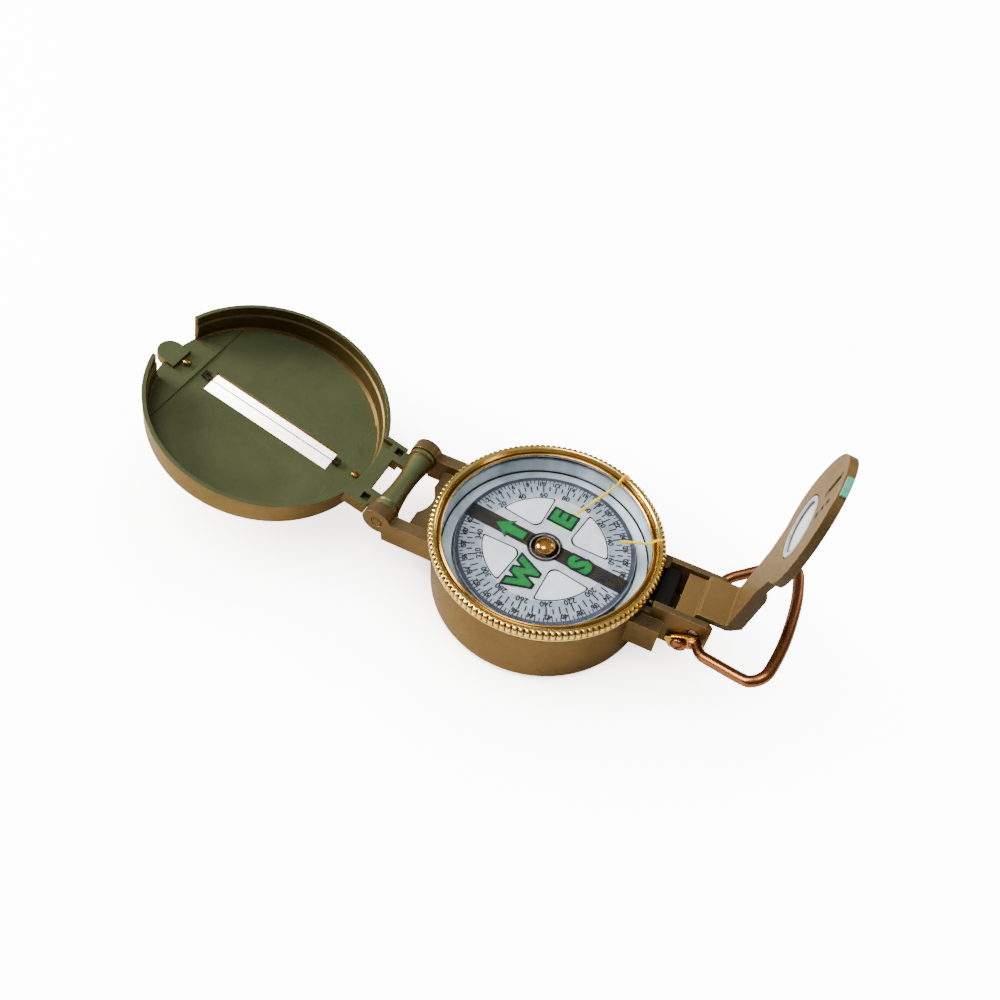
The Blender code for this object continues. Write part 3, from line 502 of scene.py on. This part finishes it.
def bezel():
    """Reeded ring: upright teeth round the outer top edge, a plain band below, a double lip."""
    lip = [(26.3, 20.75), (26.5, 21.1), (26.75, 21.4), (27.0, 21.55), (27.3, BEZEL_TOP)]
    # radius, height, and share of the depth that the gap has there
    teeth = [(27.5, BEZEL_TOP - 0.02, 0.2), (27.7, 21.55, 0.55), (27.95, 21.46, 0.8),
             (28.18, 21.3, 0.95), (28.36, 21.08, 1.0), (28.47, 20.8, 1.0), (BEZEL_R, 20.45, 1.0),
             (BEZEL_R, 20.1, 0.95), (28.46, 19.85, 0.8), (28.36, 19.72, 0.5), (28.26, 19.66, 0.2)]
    band = [(28.05, 19.6), (28.0, 19.5), (28.06, 19.4), (28.2, 19.36), (28.24, 19.28),
            (28.24, 18.95), (28.14, 18.82), (26.3, 18.82), (26.3, 20.4), (25.25, 20.42),
            (25.14, 20.52), (25.2, 20.66), (25.42, 20.72), (25.62, 20.66), (25.72, 20.5),
            (26.05, 20.46), (26.12, 20.6)]
    reach = [0.0] * len(lip) + [share for _, _, share in teeth] + [0.0] * len(band)

    def ripple(index, radius, z, angle):
        cut = TOOTH_DEPTH * reach[index] * valley(angle)
        high = min(max((z - SLOPE_Z) / (BEZEL_TOP - SLOPE_Z), 0.0), 1.0)
        return radius - cut * (1.0 - 0.6 * high), z - cut * high * 0.9

    profile = [*lip, *((radius, z) for radius, z, _ in teeth), *band]
    mesh = revolve("bezel_reeded", profile, TEETH * TOOTH_STEPS, ripple)
    groove_shade = mesh.attributes.new("groove_shade", "FLOAT", "POINT")
    # painted shade: dark down in the gaps between the teeth, and nearly black in the seam between
    # the lips
    for vertex in mesh.vertices:
        x, y, z = vertex.co / MM
        radius = math.hypot(x, y)
        toothed = TEETH_R < radius and TEETH_Z < z < BEZEL_TOP - 0.01
        in_seam = SEAM[0] < radius < SEAM[1] and z < SEAM[2]
        cut = valley(math.atan2(y, x)) if toothed else 0.0
        groove_shade.data[vertex.index].value = max(min(cut * 1.6 - 0.25, 1.0), 0.9 if in_seam else 0.0)
    piece("bezel_reeded", mesh, GOLD, "bezel", ["bezel_ring"], crease=60)


LINE_R = 0.33


def sight_lines():
    """Two luminous lines on the glass, with a painted glow, which run up over the bezel's lip."""
    hook = [(0.5, 27.7, 21.86), (1.1, 27.5, 21.86)]
    for name, angle, start, end in (("line_long", 112.6, 10.0, hook),
                                    ("line_short", 158.0, 17.5, [])):
        route = [(0, start, 20.0), (0, 25.0, 20.05), (0, 25.5, 21.1), (0, 26.4, 21.8),
                 (0, 27.4, 21.88), *end]
        mesh = wire(route, LINE_R)
        mesh.transform(Matrix.Rotation(math.radians(-angle), 4, "Z"))
        piece(name, mesh, YELLOW, "bezel")


# ---------------------------------------------------------------- dial
CARD_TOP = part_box("compass_card")[1].z / MM
ON_TOP = Matrix.Translation((0, 0, CARD_TOP * MM))
ON_CARD = Matrix.Rotation(math.radians(-5.3), 4, "Z")  # north lies a little off the sight line
PRINT = 0.03  # thickness of the printed layers
BAR_HALF, BAR_END = 2.2, 21.6
SCALE_IN, SCALE_OUT = 15.75, 21.1
FINE_IN, FINE_OUT = 21.05, 22.1
LETTER_R = 9.9
LETTER_HIGH, LETTER_BOLD, LETTER_RIM = 5.2, 0.42, 0.66


def on_card(name, meshes, finish, level=0.0):
    """Layers of print, each level one thickness above the last."""
    mesh = merged(name, meshes)
    mesh.transform(ON_CARD @ Matrix.Translation((0, 0, PRINT * (level + 0.6) * MM)))
    return piece(name, mesh, finish, "compass_card", smooth=False)


def card_magnet():
    """The bar magnet, seen through the card from below, with its eye round the cap."""
    eye = outline([circle(4.4, 6), circle(2.6, 10)], PRINT)
    strip = stroke(2 * BAR_HALF, 2 * BAR_END, PRINT)
    on_card("bar_under_card", [(strip, ON_TOP), (eye, ON_TOP)], BAR)
    shine = outline([circle(3.75, 6), circle(3.45, 10)], PRINT)
    on_card("eye_line", [(shine, ON_TOP)], STEEL, level=1.0)


def card_scales():
    """Grey band under the scales, a darker one with the finest divisions, and the strokes."""
    scale = outline([circle(SCALE_OUT, 3), circle(SCALE_IN, 3)], PRINT)
    on_card("scale_band", [(scale, ON_TOP)], BAND, level=-0.4)
    fine = outline([circle(FINE_OUT, 3), circle(FINE_IN, 3)], PRINT)
    on_card("outer_band", [(fine, ON_TOP)], GREY_INK)
    marks = []
    # strokes, one in so many is long, outer radius, width, long and short
    for count, every, outer, across, long, short in (
            (320, 1, 21.975, 0.13, 0.95, 0.95), (128, 4, FINE_IN, 0.27, 1.7, 1.0),
            (72, 2, 19.1, 0.36, 2.0, 1.4)):
        for step in range(count):
            along = short if step % every else long
            marks.append((stroke(across, along, PRINT),
                          clockwise(step * 360 / count, outer - along / 2, CARD_TOP)))
    on_card("dial_divisions", marks, INK, level=1.2)


def card_numbers():
    """Degrees on the inner scale, every 20, and hundreds of mils on the outer one, every 200."""
    numbers = []
    for degrees in range(0, 360, 20):
        numbers.append((text(str(degrees), 1.4, PRINT, 0.07), clockwise(degrees, 16.25, CARD_TOP)))
    for step in range(32):
        label = str((step * 2) or 64)
        numbers.append((text(label, 1.2, PRINT, 0.09),
                        clockwise(step * 11.25 + 2.8, 19.75, CARD_TOP)))
    on_card("dial_numbers", numbers, INK, level=1.2)


def panel_edge(inset):
    """Outline of a panel: a sector about +Y with rounded corners, drawn smaller by the inset."""
    outer, foot = 15.5 - inset, 6.75 + inset * 1.6
    half = math.radians(27) - inset / 11.0
    steps = 16
    rim = []
    for step in range(steps + 1):
        angle = half * (1 - 2 * step / steps)
        rim.append((outer * math.sin(angle), outer * math.cos(angle), 0.0))
    # the points next to the outer corners make room for the rounding
    return rounded([(*rim[0][:2], 1.6), *rim[2:-2], (*rim[-1][:2], 1.6), (-0.9, foot, 1.5),
                    (0.9, foot, 1.5)])


def card_panels():
    panels, lines = [], []
    for quarter in range(4):
        spot = clockwise(45 + 90 * quarter, 0, CARD_TOP)
        panels.append((outline(panel_edge(0.1), PRINT), spot))
        lines.append((outline([panel_edge(0.0), panel_edge(0.3)], PRINT), spot))
    on_card("dial_panels", panels, PANEL)
    on_card("panel_lines", lines, INK, level=1.2)


def card_letters():
    """Cardinal letters, upright with north up, two of them on pale discs, and the north arrow."""
    letters, edges, halos = [], [], []
    for label, angle in (("E", 90), ("S", 180), ("W", 270)):
        upright = Matrix.Rotation(math.radians(angle), 4, "Z")
        centre = clockwise(angle, LETTER_R, CARD_TOP) @ upright
        letters.append((text(label, LETTER_HIGH, PRINT, LETTER_BOLD), centre))
        edges.append((text(label, LETTER_HIGH, PRINT, LETTER_BOLD, LETTER_RIM), centre))
        if label != "S":
            halos.append((outline(circle(3.9, 10), PRINT), centre))
    arrow = [(0, 14.2), (2.9, 9.6), (1.45, 10.2), (1.45, 5.4), (-1.45, 5.4), (-1.45, 10.2),
             (-2.9, 9.6)]
    letters.append((outline(arrow, PRINT), ON_TOP))
    flat = Matrix.Diagonal((1.0, 1.0, PRINT / LETTER_RIM, 1.0))
    edges.append((wire(arrow, LETTER_RIM / 2, closed=True), ON_TOP @ flat))
    on_card("letter_halos", halos, HALO)
    on_card("letters", letters, GREEN, level=2.4)
    on_card("letter_edges", edges, INK, level=3.6)


def bowl_line():
    """Painted shade: a black wedge filling the corner between the bowl's wall and its ledge."""
    corner = [(25.5, 13.62), (25.5, 13.95), (25.25, 13.72), (25.22, 13.62)]
    piece("bowl_line", revolve("bowl_line", corner, 180), RUBBER, "case")


# ---------------------------------------------------------------- lens plate
LENS_AT = Vector((0, -49.6, 54.6)) * MM
PLATE_LEAN = math.radians(7)
SLIT_HALF, SLIT_FROM, SLIT_TO = 0.6, 11.0, 16.2
SIDE_HOLES = (8.4, 10.5, 12.6)  # up the plate from the lens
SIDE_HOLE_X = 3.7
SIDE_HOLE_R = 0.5
RECESS_RIM, RECESS_THICK = 0.3, 0.05


def plate_marks():
    """Painted shade: flat dark rings round the plate's slit and its three side holes, for the shade
    in their recesses.
    """
    sine, cosine = math.sin(PLATE_LEAN), math.cos(PLATE_LEAN)
    front = Matrix(((-1, 0, 0), (0, -sine, cosine), (0, cosine, sine))).to_4x4()
    stand = Matrix.Translation(LENS_AT) @ front
    slit = [*arc((0, SLIT_TO), SLIT_HALF + RECESS_RIM, 0, 180, 10),
            *arc((0, SLIT_FROM), SLIT_HALF + RECESS_RIM, 180, 360, 10)]
    opening = [(SLIT_HALF, SLIT_FROM), (SLIT_HALF, SLIT_TO), (-SLIT_HALF, SLIT_TO),
               (-SLIT_HALF, SLIT_FROM)]
    marks = [(outline([slit, opening], RECESS_THICK), stand)]
    for up in SIDE_HOLES:
        centre = (SIDE_HOLE_X, up)
        ring = [circle(SIDE_HOLE_R + RECESS_RIM, 15, centre),
                circle(SIDE_HOLE_R - 0.05, 15, centre)]
        marks.append((outline(ring, RECESS_THICK), stand))
    mesh = merged("plate_marks", marks)
    piece("plate_marks", mesh, RECESS_SHADE, "lens_bracket", smooth=False)


# ---------------------------------------------------------------- thumb loop
WIRE_R = 1.3
LOOP_REST = math.radians(-30)
RAIL_CLEAR = 7.9  # the rails' outer faces, and clearance
PRESSED_REACH = 7.0
EYE_X = 8.5
EYE_THICK = 0.9
EYE_HOLE_R = 1.2
EYE_ROUND = 0.14


def smooth_route(route):
    """Points on a smooth curve through the route's points, ten for each stretch."""
    ends = [route[0] * 2 - route[1], *route, route[-1] * 2 - route[-2]]
    points = []
    for a, b, c, d in zip(ends, ends[1:], ends[2:], ends[3:]):
        for step in range(10):
            t = step / 10
            points.append(((b * 2) + (c - a) * t + (a * 2 - b * 5 + c * 4 - d) * t * t
                           + (b * 3 - a - c * 3 + d) * t ** 3) / 2)
    return [*points, route[-1]]


def thumb_loop():
    """Drawn wire whose ends are pressed flat into oblong eyes, finished brighter than the wire."""
    joint = Vector(JOINTS["thumb_loop_hinge"]["pos_m"])
    stand = Matrix.Translation(joint) @ Matrix.Rotation(LOOP_REST, 4, "X")
    half = [(8.5, 3.0), (8.75, 3.9), (9.3, 4.6), (10.8, 5.5), (12.0, 6.9), (13.2, 9.5), (16.3, 16.6),
            (16.7, 18.8), (15.4, 21.0), (12.6, 22.2), (5.0, 23.3)]
    route = [Vector((x, -out, 0)) for x, out in half]
    route += [Vector((-place.x, place.y, 0)) for place in reversed(route)]
    shape = wire(smooth_route(route), WIRE_R, resolution=6)
    for vertex in shape.vertices:  # pressed flat on the inside, where the wire passes the rails
        if vertex.co.y > -PRESSED_REACH * MM and abs(vertex.co.x) < RAIL_CLEAR * MM:
            vertex.co.x = math.copysign(RAIL_CLEAR * MM, vertex.co.x)
    mesh = merged("thumb_loop_wire", [(shape, stand)])
    piece("thumb_loop_wire", mesh, COPPER, "thumb_loop", ["thumb_loop"], crease=60)
    eye = [(3.2, -1.6), (3.2, 1.6), (2.7, 2.1), (-2.6, 2.1), (-3.6, 1.75), (-4.6, 1.25),
           (-4.6, -1.25), (-3.6, -1.75), (-2.6, -2.1), (2.7, -2.1)]
    quarter = math.radians(90)
    upright = Matrix.Rotation(quarter, 4, "Y") @ Matrix.Rotation(quarter, 4, "Z")
    for name, side in (("loop_eye_left", -1), ("loop_eye_right", 1)):
        plate = outline([eye, circle(EYE_HOLE_R, 15)], EYE_THICK)
        across = Matrix.Translation(Vector((EYE_X * side, 0, 0)) * MM)
        mesh = merged(name, [(plate, stand @ across @ upright)])
        made = piece(name, mesh, EYE_GOLD, "thumb_loop")
        soften = made.modifiers.new("soften", "BEVEL")
        soften.width = EYE_ROUND * MM
        soften.segments = 3


# ---------------------------------------------------------------- stage
FLOOR_HALF = 6.0
FLOOR_DROP = 0.00005
WHITE_OUT = 12.0  # strength at which the floor and the backdrop are plain white
SKY = ((0.0, (0.05, 0.035, 0.02)), (0.50, (0.06, 0.045, 0.03)), (0.60, (0.16, 0.13, 0.10)),
       (0.80, (0.50, 0.48, 0.46)), (1.0, (0.80, 0.81, 0.84)))  # from straight down to straight up
SKY_STRENGTH = 0.6


def paper_floor():
    """White paper, plain white for the camera through its own emission, with a painted warm shadow
    close to the object where ambient occlusion dims that emission.
    """
    mesh = bpy.data.meshes.new("floor")
    half = FLOOR_HALF
    mesh.from_pydata([(-half, -half, 0), (half, -half, 0), (half, half, 0), (-half, half, 0)], [],
                     [(0, 1, 2, 3)])
    floor = bpy.data.objects.new("floor", mesh)
    bpy.context.scene.collection.objects.link(floor)
    made = Shader("floor_paper", (0.93, 0.925, 0.915), 0.85)
    made.two_tone(made.noise(900.0, 4.0, 0.6), 0.3, 0.7, (0.92, 0.915, 0.905), (0.94, 0.935, 0.93))
    seen = made.node("ShaderNodeLightPath", "Is Camera Ray")
    # painted shadow: near the object the occlusion dims the emission and tints it warm
    open_sky = made.node("ShaderNodeAmbientOcclusion", "AO", (("samples", 6),), Distance=0.045)
    lift = made.spread(open_sky, 0.25, 0.97)
    made.set(made.surface, "Emission Color", made.mix(lift, (0.93, 0.86, 0.78), (1.0, 1.0, 1.0)))
    made.set(made.surface, "Emission Strength",
             made.maths("MULTIPLY", seen, made.spread(lift, 0.0, 1.0, 1.6, WHITE_OUT)))
    mesh.materials.append(made.material)
    floor.location.z = -FLOOR_DROP


def studio():
    """A sky that is bright above and dark below, behind a white backdrop for the camera alone."""
    world = bpy.data.worlds.new("studio")
    bpy.context.scene.world = world
    world.use_nodes = True
    nodes, links = world.node_tree.nodes, world.node_tree.links
    where = nodes.new("ShaderNodeTexCoord")
    split = nodes.new("ShaderNodeSeparateXYZ")
    height = nodes.new("ShaderNodeMapRange")
    height.inputs["From Min"].default_value = -1.0
    ramp = nodes.new("ShaderNodeValToRGB")
    for _ in SKY[2:]:
        ramp.color_ramp.elements.new(0.5)
    for element, (position, colour) in zip(ramp.color_ramp.elements, SKY):
        element.position = position
        element.color = (*colour, 1.0)
    sky = nodes["Background"]
    sky.inputs["Strength"].default_value = SKY_STRENGTH
    backdrop = nodes.new("ShaderNodeBackground")
    backdrop.inputs["Color"].default_value = (1.0, 1.0, 1.0, 1.0)
    backdrop.inputs["Strength"].default_value = WHITE_OUT
    path = nodes.new("ShaderNodeLightPath")
    both = nodes.new("ShaderNodeMixShader")
    for source, target in ((where.outputs["Generated"], split.inputs[0]),
                           (split.outputs["Z"], height.inputs["Value"]),
                           (height.outputs[0], ramp.inputs[0]),
                           (ramp.outputs[0], sky.inputs["Color"]),
                           (path.outputs["Is Camera Ray"], both.inputs[0]),
                           (sky.outputs[0], both.inputs[1]),
                           (backdrop.outputs[0], both.inputs[2]),
                           (both.outputs[0], nodes["World Output"].inputs["Surface"])):
        links.new(source, target)


def area(name, place, aim, size, power, colour):
    light = bpy.data.lights.new(name, "AREA")
    light.shape = "RECTANGLE"
    light.size, light.size_y = size
    light.energy = power
    light.color = colour
    lamp = bpy.data.objects.new(name, light)
    bpy.context.scene.collection.objects.link(lamp)
    lamp.location = place
    direction = Vector(aim) - Vector(place)
    lamp.rotation_euler = direction.to_track_quat("-Z", "Y").to_euler()


def lamps():
    area("key", (-0.10, 0.66, 0.50), (0, 0.01, 0.02), (0.40, 0.40), 15.0, (1.0, 0.96, 0.90))
    area("top", (-0.12, 0.10, 0.80), (0, 0, 0.02), (0.30, 0.30), 3.5, (1.0, 0.99, 0.97))
    area("rim", (0.70, -0.45, 0.40), (0, 0, 0.03), (0.25, 0.5), 1.6, (1.0, 0.95, 0.88))


# ---------------------------------------------------------------- camera
VIEW = (291.35, 50.85, 5.64)  # azimuth, elevation and roll, in degrees
CAMERA_AT = (-0.1171, -0.0329, 0.1801)
SENSOR, FOCAL = 36.0, 30.24  # millimetres


def camera():
    """A short lens close above the case, with the cover to the left."""
    azimuth, elevation, roll = (math.radians(angle) for angle in VIEW)
    back = Vector((math.sin(azimuth) * math.cos(elevation),
                   -math.cos(azimuth) * math.cos(elevation), math.sin(elevation)))
    right = (-back).cross(Vector((0, 0, 1))).normalized()
    up = right.cross(-back)
    across = math.cos(roll) * right + math.sin(roll) * up
    upright = -math.sin(roll) * right + math.cos(roll) * up
    data = bpy.data.cameras.new("camera")
    data.sensor_width = SENSOR
    data.lens = FOCAL
    data.clip_start = 0.01
    seen = bpy.data.objects.new("camera", data)
    bpy.context.scene.collection.objects.link(seen)
    turn = Matrix((across, upright, back)).transposed().to_4x4()
    seen.matrix_world = Matrix.Translation(CAMERA_AT) @ turn
    bpy.context.scene.camera = seen


bezel()
sight_lines()
card_magnet()
card_scales()
card_numbers()
card_panels()
card_letters()
bowl_line()
plate_marks()
thumb_loop()
paper_floor()
studio()
lamps()
camera()
